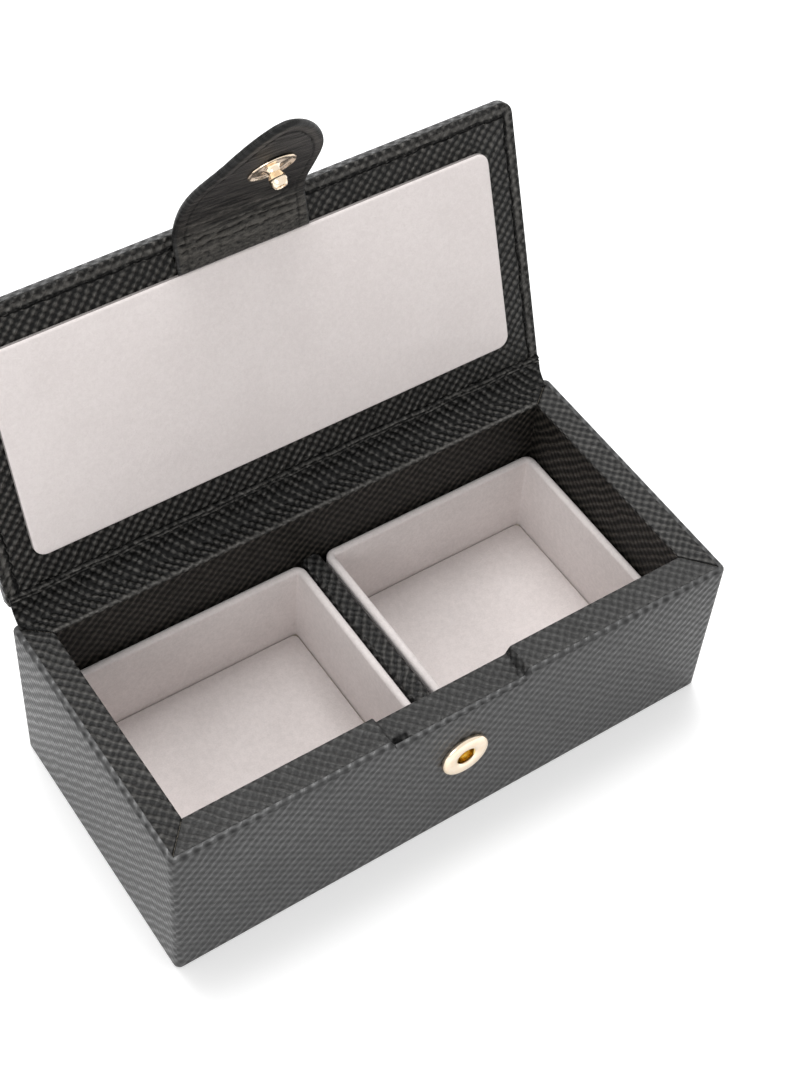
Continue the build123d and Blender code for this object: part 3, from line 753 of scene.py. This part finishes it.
for inset, fall in ((0.0, 0.0), (0.12, 0.25), (0.2, sheet_sunk)):
    low = (inner_low[0] + inset, inner_low[1] + inset)
    step_in(bm, flat_face(bm, True), low, (inner_high[0] - inset, inner_high[1] - inset))
    for v in flat_face(bm, True).verts:
        v.co.z -= fall
edge = bm.verts.layers.float.new("edge")
crease_shade = bm.verts.layers.float.new("crease_shade")
painted_highlight = bm.verts.layers.float.new("painted_highlight")
for v in bm.verts:
    inside = within(v.co, inner_low, inner_high)
    beat = uneven(v.co.x * 0.85, v.co.y * 0.85, 21.0)
    quick = uneven(v.co.x * 2.1, v.co.y * 2.1, 23.0)
    if v.co.z > -1.2 and inside < -0.25:
        v[edge] = 1.0
        middle = bell(inside + lump_out, lump_width)
        v.co.z -= 0.10 + 0.13 * middle * (1 - beat)
        # Painted shade in the broken crease row.
        row = bell(inside + crease_row_out, crease_row_width)
        v[crease_shade] = min(1.0, max(0.0, row * (0.35 + 1.6 * quick)))
        # Painted highlight on the lumps.
        v[painted_highlight] = max(0.0, 0.6 * middle * (0.6 + beat))
    # Painted shade in the crease where the turned-in edge meets the inner sheet.
    if v.co.z > -1.2 and inside > -0.45:
        v[crease_shade] = min(1.0, max(0.15, 0.75 + 1.6 * quick))
        v.co.z -= 0.1
        v.co += waver(v.co, waver_size)
lay_grain(bm)
bmesh.ops.translate(bm, vec=(0, lid_length / 2, 0), verts=bm.verts)
for f in bm.faces:
    f.material_index = 1 if f.calc_center_median().z < -0.75 else 0
bmesh.ops.transform(bm, matrix=lid_frame, verts=bm.verts)
lid_wrap = keep_piece(bm, "lid_wrap", "lid", lid_leather, "grained_leather", "lid_cover")
lid_wrap.data.materials.append(case_leather)

# --- Inner sheet of the lid -------------------------------
# The leather seen round the suede panel, let in level with the turned-in edge. Its cut edge
# is rolled down into the crease, where it is darkened with painted shade.
sheet_gap = 0.3
sheet_thickness = 0.45
bm, edge, crease_shade = grained_mesh("edge", "crease_shade")
bmesh.ops.create_grid(bm, x_segments=200, y_segments=96, size=0.5)
sheet_low = Vector((inner_low[0] + sheet_gap, inner_low[1] + sheet_gap))
sheet_high = Vector((inner_high[0] - sheet_gap, inner_high[1] - sheet_gap))
for v in bm.verts:
    share = [0.5 - 0.5 * math.cos(math.pi * (c + 0.5)) for c in v.co[:2]]
    share = [0.7 * q + 0.3 * (c + 0.5) for q, c in zip(share, v.co[:2])]
    v.co.x = sheet_low.x + share[0] * (sheet_high.x - sheet_low.x)
    v.co.y = sheet_low.y + share[1] * (sheet_high.y - sheet_low.y)
    inside = within(v.co, sheet_low, sheet_high)
    # Painted shade along the cut edge in the crease.
    v[crease_shade] = max(0.0, 0.9 - inside / 0.25)
    v[edge] = 0.35
    lump = uneven(v.co.x * 0.3, v.co.y * 0.3, 5.0)
    v.co.z = -0.8 * rolled(inside, 0.35) - 0.05 + 0.05 * lump
    if inside < waver_reach:
        v.co += waver(v.co, waver_size) * (1 - inside / waver_reach)
face_up(bm)
bmesh.ops.solidify(bm, geom=bm.faces[:], thickness=sheet_thickness)
lay_grain(bm, shift=(23.0, 31.0))
bmesh.ops.translate(bm, vec=(0, lid_length / 2, 0), verts=bm.verts)
bmesh.ops.transform(bm, matrix=lid_frame, verts=bm.verts)
keep_piece(bm, "lid_inner_sheet", "lid", lid_leather, "grained_leather", "lid_border")

# --- Suede panel ------------------------------------------
# A card under smooth pale suede, glued on the lid's inside. Its sides carry painted shade, a
# darker copy of the suede.
# Closed, it drops into the well and holds the lid square.
panel_width, panel_length, panel_start = 125.6, 50.3, 10.0
panel_thickness = 1.2
panel_corner = 3.0
panel_roll = 0.65
panel_suede = suede("panel_suede", (0.79, 0.73, 0.715, 1), (0.73, 0.67, 0.655, 1))
shaded_panel_side = suede("shaded_panel_side", (0.30, 0.275, 0.265, 1), (0.22, 0.20, 0.19, 1))
bm = outline_prism(panel_width, panel_length, panel_thickness, [panel_corner] * 4, 6.0)
roll_edge(bm, flat_face(bm, True), panel_roll, 4)
bm.normal_update()
# The side faces get the darker suede as painted shade.
for f in bm.faces:
    f.material_index = 1 if f.normal.z < 0.55 else 0
bmesh.ops.translate(bm, vec=(0, panel_start + panel_length / 2, 0), verts=bm.verts)
bmesh.ops.transform(bm, matrix=lid_frame, verts=bm.verts)
panel = keep_piece(bm, "lid_panel", "lid", panel_suede, "suede", "lid_lining")
panel.data.materials.append(shaded_panel_side)

# --- Leather hinge ----------------------------------------
# Two long strips of leather let the lid swing. The inner one is glued to the back rim and
# the lid's inside and lies in raised creases; the outer one goes down the back of the case.
hinge_half = 69.0
gusset_half = 71.0
hinge_thickness = 0.5


def bent_strip(name, path, half_length, finish, creases, lay, *replaced):
    """A strip along X, swept through the points of a path across the hinge."""
    bm, edge, crease_shade, painted_highlight = grained_mesh("edge", "crease_shade", "painted_highlight")
    bmesh.ops.create_grid(bm, x_segments=276, y_segments=56, size=0.5)
    lengths = [0.0]
    for a, b in zip(path, path[1:]):
        lengths.append(lengths[-1] + math.dist(a, b))
    place = {}
    for v in bm.verts:
        x = v.co.x * 2 * half_length
        along = (v.co.y + 0.5) * lengths[-1]
        spot = min(sum(1 for d in lengths[1:-1] if d < along), len(path) - 2)
        part = (along - lengths[spot]) / (lengths[spot + 1] - lengths[spot])
        y = path[spot][0] + part * (path[spot + 1][0] - path[spot][0])
        z = path[spot][1] + part * (path[spot + 1][1] - path[spot][1])
        sway = 0.35 * uneven(x * 0.12, 0, 4.0)
        lift = 0.0
        for from_end, height, width in creases:
            off = (lengths[-1] - along - from_end - sway) / width
            ripple = uneven(x * 1.3, from_end, 6.0)
            here = height * math.exp(-off * off) * (1 + 0.9 * ripple)
            lift += here
            # Painted highlight on the raised creases' ridges.
            v[painted_highlight] = max(v[painted_highlight], min(1.0, max(0.0, 2.2 * here * (0.6 + 1.4 * ripple))))
        place[v] = (x, along, lift)
        v.co = Vector((x, y, z))
        v[edge] = min(1.0, 0.3 + 2.0 * abs(lift))
        # Painted shade in the creases' troughs.
        v[crease_shade] = min(1.0, max(0.0, -lift * 3.0))
    bm.normal_update()
    moved = {v: v.normal * place[v][2] for v in bm.verts}
    for v in bm.verts:
        v.co += moved[v]
    grain = bm.loops.layers.uv.verify()
    for face in bm.faces:
        for loop in face.loops:
            x, along, _ = place[loop.vert]
            loop[grain].uv = (lay[0] * x, along + lay[1])
    bmesh.ops.solidify(bm, geom=bm.faces[:], thickness=hinge_thickness)
    return keep_piece(bm, name, None, finish, "grained_leather", *replaced)


def smooth_path(points, rounds=3):
    """The points with their corners cut, for an even bend."""
    for _ in range(rounds):
        cut = [points[0]]
        for a, b in zip(points, points[1:]):
            cut.append((0.75 * a[0] + 0.25 * b[0], 0.75 * a[1] + 0.25 * b[1]))
            cut.append((0.25 * a[0] + 0.75 * b[0], 0.25 * a[1] + 0.75 * b[1]))
        points = cut + [points[-1]]
    return points


def at_lid(along, height):
    """Across the hinge, the place of a point of the lid."""
    spot = lid_frame @ Vector((0, along, height))
    return (spot.y, spot.z)


gusset_path = smooth_path([
    (half_depth - 2.0, rim_top + 0.02), (half_depth - 1.0, rim_top + 0.02),
    at_lid(-1.0, 0.55), at_lid(0.6, 0.62), at_lid(2.0, 0.52), at_lid(3.3, 0.42),
])
gusset = bent_strip(
    "hinge_inner", gusset_path, gusset_half, hinge_leather,
    (
        (0.12, -0.2, 0.2), (0.62, 0.26, 0.26), (1.08, -0.14, 0.14), (1.42, 0.2, 0.18),
        (1.85, -0.1, 0.16),
    ),
    (-1, half_depth - 2.0), "hinge_gusset",
)
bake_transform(gusset)
spine_path = smooth_path([
    (half_depth + 0.02, rim_top - 3.6), (half_depth + 0.02, rim_top - 0.8),
    at_lid(-1.8, -lid_thickness - 0.02), at_lid(-0.06, -lid_thickness - 0.02),
])
spine = bent_strip(
    "hinge_outer", spine_path, hinge_half, case_leather,
    ((3.4, 0.12, 0.35),), (1, 60.0), "hinge_spine",
)
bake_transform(spine)

# --- Tab --------------------------------------------------
# A tongue of two leathers with a stiffener between, grained outside and smooth inside, with
# a painted edge. Its root is glued to the lid's inside and it bends over the lid's front
# edge in a row of wrinkles. It bows a little round the stud.
tab_x = -0.5
tab_half = 16.2
tab_thickness = 1.8
root_half = 0.56
root_start, root_end = 60.3, 67.5
tab_pivot = Vector((tab_x, 71.9, 3.1))
tab_lean, tab_turn = math.radians(41.6), math.radians(6.5)
tongue_start, tongue_length, tongue_round = 4.2, 33.1, 27.5
tab_across = Vector((
    math.cos(tab_turn), -math.sin(tab_turn) * math.cos(tab_lean),
    -math.sin(tab_turn) * math.sin(tab_lean),
))
tab_along = Vector((
    math.sin(tab_turn), math.cos(tab_turn) * math.cos(tab_lean),
    math.cos(tab_turn) * math.sin(tab_lean),
))
tab_facing = Vector((0, -math.sin(tab_lean), math.cos(tab_lean)))
root_length = root_end - root_start
fold_length = 9.0
strap_length = root_length + fold_length + tongue_length - tongue_start
tongue_left_shape, tongue_right_shape = 1.62, 1.80
tongue_slide = -0.045
tongue_slope = 0.14
tab_edge_line = 2.6
tab_line_width = 0.22
tab_paint_width = 0.6
# A painted highlight band where the tongue's edge curls up.
curl_highlight_band, curl_highlight_width = 1.5, 0.6
stud_across, stud_middle = 1.4, 15.1


def tongue_half(v, shape):
    """Half the tongue's width at a distance from its pivot."""
    straight = tongue_length - tongue_round
    if v <= straight:
        return tab_half
    return tab_half * max(0.0, 1 - ((v - straight) / tongue_round) ** shape) ** (1 / shape)


def half_thickness(t):
    """Half the tab's thickness; its root is pared thin where it meets the panel."""
    p = min(t / root_length, 1.0)
    return root_half + (tab_thickness / 2 - root_half) * p * p * (3 - 2 * p)


def strap_middle(u, t):
    """The middle of the tab's thickness in the lid's frame: u across it, t along it."""
    if t <= root_length:
        return Vector((tab_x + u, root_start + t, half_thickness(t)))
    last = tab_pivot + tab_across * u + tab_along * tongue_start
    last += tab_facing * tongue_bow(u, tongue_start)
    if t >= root_length + fold_length:
        v = tongue_start + t - root_length - fold_length
        slide = tongue_slide * max(0.0, v - 10.0)
        out = tab_facing * tongue_bow(u, v)
        return tab_pivot + tab_across * (u + slide) + tab_along * v + out
    p = (t - root_length) / fold_length
    first = Vector((tab_x + u, root_end, tab_thickness / 2))
    pull = 8.0
    return (
        first * (2 * p**3 - 3 * p**2 + 1) + Vector((0, pull, 0)) * (p**3 - 2 * p**2 + p)
        + last * (-2 * p**3 + 3 * p**2) + tab_along * pull * (p**3 - p**2)
    )


def tongue_bow(u, v):
    """How far the tongue stands out of its flat plane: it leans in round the stud."""
    beyond = v - stud_middle
    bow = tongue_slope * beyond / (1 + (abs(beyond) / 6.0) ** 4) ** 0.25
    bow -= 0.27 * (max(u, 0.0) / tab_half) ** 2 * (v / tongue_length) ** 2
    return bow + 0.43 * (max(-u, 0.0) / tab_half) ** 2 * v / tongue_length


def edge_distance(u, v):
    """How far a point of the tongue lies inside its outline."""
    straight = tongue_length - tongue_round
    if v <= straight:
        return tab_half - abs(u)
    shape = tongue_left_shape if u < 0 else tongue_right_shape
    across, along = abs(u) / tab_half, (v - straight) / tongue_round
    k = (across**shape + along**shape) ** (1 / shape)
    if k < 0.4:
        return tab_half * (1 - k)
    pull = math.hypot(across ** (shape - 1) / tab_half, along ** (shape - 1) / tongue_round)
    return (1 - k) * k ** (shape - 1) / pull


fold_wrinkles = (
    (root_length - 4.2, -0.10, 0.35), (root_length - 3.4, 0.14, 0.4),
    (root_length - 2.2, -0.30, 0.26), (root_length - 1.4, 0.30, 0.36),
    (root_length - 0.5, -0.36, 0.26), (root_length + 0.3, 0.30, 0.36),
    (root_length + 1.2, -0.22, 0.3), (root_length + 2.0, 0.16, 0.4),
    (root_length + 3.2, -0.10, 0.4), (root_length + 4.4, 0.10, 0.6),
)
bm, edge, crease_shade, calm, painted_highlight = grained_mesh("edge", "crease_shade", "calm", "painted_highlight")
unrolled = {}
painted = {}
for inner in (True, False):
    sheet = bmesh.ops.create_grid(bm, x_segments=84, y_segments=150, size=0.5)["verts"]
    for v in sheet:
        q = math.sin(math.pi * v.co.x)
        reach = v.co.y + 0.5
        t = strap_length * (0.35 * reach + 0.65 * math.sin(0.5 * math.pi * reach))
        from_root = t - root_length - fold_length
        along = tongue_start + from_root
        shape = tongue_left_shape if q < 0 else tongue_right_shape
        half = tongue_half(along, shape) if from_root > 0 else tab_half
        u = q * half
        from_side = edge_distance(u, along) if from_root > 0 else tab_half - abs(u)
        from_side = max(0.0, from_side)
        from_edge = min(from_side, t)
        wrinkle = 0.0
        for middle, height, width in fold_wrinkles:
            off = (t - middle - 0.9 * uneven(u * 0.2, middle, 3.0)) / width
            wrinkle += height * math.exp(-off * off) * max(
                0.0, 0.75 + 1.3 * uneven(u * 0.8, middle, 8.0)
            )
        wrinkle *= min(1.0, from_edge / 1.8)
        streak = 0.08 * uneven(u * 0.07, t * 0.8, 2.0)
        line_at = tab_edge_line + 0.25 * uneven(u * 0.4, t * 0.4, 13.0)
        line = bell(from_side - line_at, tab_line_width)
        line *= 0.65 + 0.7 * uneven(u * 0.9, t * 0.9, 15.0)
        if not inner:
            line, wrinkle = 0.0, 0.4 * wrinkle
        thick = half_thickness(t)
        rise = thick - rolled(from_edge, thick - 0.02)
        rise += min(1.0, from_edge) * (wrinkle + streak - 0.16 * line)
        step = 0.05
        here = strap_middle(u, t)
        side = strap_middle(u + step, t) - strap_middle(u - step, t)
        onward = strap_middle(u, min(t + step, strap_length)) - strap_middle(u, max(t - step, 0))
        out = side.cross(onward).normalized()
        v.co = here + out * (rise if inner else -rise)
        v[edge] = min(1.0, 4.0 * abs(wrinkle))
        # Painted shade in the wrinkles' troughs and along the inset line.
        v[crease_shade] = min(1.0, max(0.0, -wrinkle * 5.0) + 0.8 * line)
        # Painted highlight on the wrinkles' ridges and in a band along the tongue's curled edge.
        band = bell(from_side - curl_highlight_band, curl_highlight_width) * max(0.0, from_root / 20.0)
        v[painted_highlight] = min(1.0, max(0.0, 1.6 * wrinkle) + 0.35 * band)
        v[calm] = min(1.0, max(0.0, (t - root_length + 1.0) / 3.5))
        unrolled[v] = (u, t)
        painted[v] = from_edge < tab_paint_width
grain = bm.loops.layers.uv.verify()
for f in bm.faces:
    f.material_index = 2 if all(painted[v] for v in f.verts) else 0
    for loop in f.loops:
        loop[grain].uv = unrolled[loop.vert]
outside = bm.faces[:][len(bm.faces) // 2:]
for f in outside:
    if f.material_index == 0:
        f.material_index = 1
bmesh.ops.remove_doubles(bm, verts=bm.verts, dist=0.03)
bmesh.ops.recalc_face_normals(bm, faces=bm.faces)
bmesh.ops.transform(bm, matrix=lid_frame, verts=bm.verts)


def smooth_leather(name, dark, light):
    """Smooth black leather, drawn into faint streaks across the tab where it has bent, and
    grained where it lies flat on the lid. Carried values paint shade into creases and add
    painted highlights."""
    material, tree, shader = tree_of(name)
    grain = put(tree, "UVMap", uv_map="grain").outputs["UV"]
    drawn = put(tree, "Mapping", {"Vector": grain, "Scale": (0.09, 0.8, 1)}).outputs[0]
    streak = speckle(tree, drawn, 1.5, 5.0)
    pore = speckle(tree, grain, 3.2, 3.0)
    laid = {"Vector": grain, "Rotation": (0, 0, grain_lean), "Scale": (0.55, 1.3, 1)}
    turned = put(tree, "Mapping", laid).outputs[0]
    stroke = speckle(tree, turned, 1.3, 2.0)
    crease_shade = carried(tree, "crease_shade")
    edge = carried(tree, "edge")
    calm = carried(tree, "calm")
    smooth = plus(tree, times(tree, streak, 0.75), times(tree, pore, 0.22))
    rough = plus(tree, times(tree, stroke, 0.85), times(tree, pore, 0.4))
    smooth = times(tree, smooth, calm)
    rough = times(tree, rough, spread(tree, calm, 0, 1, 1.0, 0.0))
    height = plus(tree, smooth, rough)
    height = times(tree, height, spread(tree, edge, 0, 1, 1.0, 1.6))
    painted_highlight = carried(tree, "painted_highlight")
    grain_and_highlight = plus(tree, spread(tree, height, 0.42, 0.84), painted_highlight)
    tone = between(tree, grain_and_highlight, dark, light)
    tone = between(tree, crease_shade, tone, (0.001, 0.001, 0.001, 1))
    gloss = spread(tree, height, 0.3, 0.9, 0.48, 0.30)
    bump = put(tree, "Bump", {"Height": height, "Distance": 0.00024, "Strength": 1.0})
    feed(tree, shader, {
        "Base Color": tone, "Roughness": plus(tree, gloss, times(tree, crease_shade, 0.5)),
        "Specular IOR Level": 0.16, "Normal": bump.outputs[0],
    })
    return material


tab_leather = smooth_leather("tab_leather", (0.002, 0.002, 0.002, 1), (0.090, 0.084, 0.075, 1))
edge_paint = smooth_leather("edge_paint", (0.006, 0.006, 0.006, 1), (0.060, 0.059, 0.057, 1))
tab = keep_piece(
    bm, "tab_strap", None, tab_leather, "grained_leather", "tab_inner_leather",
    "tab_outer_leather", "tab_stiffener", "tab_root", "tab_fold",
)
tab.data.materials.append(case_leather)
tab.data.materials.append(edge_paint)
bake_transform(tab)

# --- Press stud -------------------------------------------
# Polished pale-gold metal. The ball stands on a dished flange riveted to the tab, one piece
# with its rivet here; the socket on the case's front is a domed cap with a turned-in hole,
# over a bent wire spring and a closed cup.
socket_profile = (
    (3.0, 0.0), (5.75, 0.0), (6.0, 0.12), (6.1, 0.4), (6.06, 0.85), (5.9, 1.15), (5.6, 1.36),
    (5.2, 1.46), (4.6, 1.5), (3.4, 1.5), (2.9, 1.46), (2.6, 1.34), (2.42, 1.15), (2.4, 0.9),
    (2.55, 0.8), (4.6, 0.8), (4.6, 0.35), (3.0, 0.35),
)
cup_profile = (
    (0.0, -2.5), (2.1, -2.5), (2.42, -2.2), (2.42, 0.7), (2.57, 0.7), (2.57, -2.64), (0.0, -2.64),
)
stud_profile = (
    (0.5, -1.3), (3.2, -1.3), (3.2, -1.1), (0.8, -1.1), (0.8, 0.0), (5.2, 0.0),
    (5.42, 0.06), (5.55, 0.24), (5.5, 0.42), (5.3, 0.52), (5.08, 0.44),
    (4.85, 0.22), (4.5, 0.12), (2.3, 0.14), (1.9, 0.3), (1.55, 0.8), (1.42, 1.3), (1.4, 1.7),
    (1.5, 1.92), (1.76, 2.3), (1.9, 2.8), (1.92, 3.2), (1.84, 3.75), (1.64, 4.3), (1.4, 4.62),
    (1.15, 4.68), (0.95, 4.55), (0.88, 4.2), (0.88, 1.5), (0.5, 1.5),
)


def turned(profile, steps):
    """A ring turned about Z from its section, given as radius and height."""
    bm = bmesh.new()
    points = [bm.verts.new((radius, 0, height)) for radius, height in profile]
    lines = [bm.edges.new((a, b)) for a, b in zip(points, points[1:] + points[:1])]
    bmesh.ops.spin(
        bm, geom=points + lines, cent=(0, 0, 0), axis=(0, 0, 1), angle=math.tau,
        steps=steps, use_merge=True,
    )
    bmesh.ops.remove_doubles(bm, verts=bm.verts, dist=0.0005)
    bmesh.ops.recalc_face_normals(bm, faces=bm.faces)
    return bm


def plated(name, bright, deep):
    """Pale gold plate, with the faint cloud and hairlines of polishing."""
    material, tree, shader = tree_of(name)
    where = put(tree, "TexCoord").outputs["Object"]
    cloud = speckle(tree, where, 900.0, 2.0)
    hair = put(tree, "Mapping", {"Vector": where, "Scale": (6000, 700, 6000)}).outputs[0]
    hair = speckle(tree, hair, 1.0, 2.0)
    tone = between(tree, spread(tree, cloud, 0.3, 0.7), deep, bright)
    bump = put(tree, "Bump", {"Height": hair, "Distance": 0.000006, "Strength": 0.5})
    feed(tree, shader, {
        "Base Color": tone, "Metallic": 1.0, "Roughness": spread(tree, cloud, 0.3, 0.7, 0.2, 0.12),
        "Normal": bump.outputs[0],
    })
    return material


gold = plated("pale_gold", (0.94, 0.81, 0.65, 1), (0.90, 0.74, 0.55, 1))
wire_gold = plated("spring_gold", (0.84, 0.66, 0.26, 1), (0.74, 0.56, 0.19, 1))
for name, node in nodes.items():
    if slots[name] == "gilt_metal":
        node.data.materials.clear()
        node.data.materials.append(wire_gold)
face_front = Matrix.Translation(snap_place) @ Matrix.Rotation(math.radians(90), 4, "X")
bm = turned(socket_profile, 72)
bmesh.ops.transform(bm, matrix=face_front, verts=bm.verts)
keep_piece(bm, "socket_cap", "base", gold, "gilt_metal", "snap_socket")
bm = turned(cup_profile, 48)
bmesh.ops.transform(bm, matrix=face_front, verts=bm.verts)
keep_piece(bm, "socket_cup", "base", wire_gold, "gilt_metal")
snapped = math.radians(86.0)
ball_height = 3.15
stud_seat = 0.92
stud_lean = math.atan(tongue_slope)
stud_along = (
    rim_top - tab_pivot.z - snap_place.z
    - (tab_thickness / 2 + ball_height) * math.cos(snapped)
) / math.sin(snapped) + ball_height * math.sin(stud_lean)
foot = tab_pivot + tab_across * stud_across + tab_along * stud_along + tab_facing * stud_seat
on_tab = Matrix((tab_across, tab_along, tab_facing)).transposed().to_4x4()
stud_tip = Matrix.Rotation(stud_lean, 4, "X")
bm = turned(stud_profile, 64)
bmesh.ops.transform(
    bm, matrix=lid_frame @ Matrix.Translation(foot) @ on_tab @ stud_tip, verts=bm.verts
)
keep_piece(bm, "stud", "tab", gold, "gilt_metal", "snap_stud", "snap_stud_rivet")
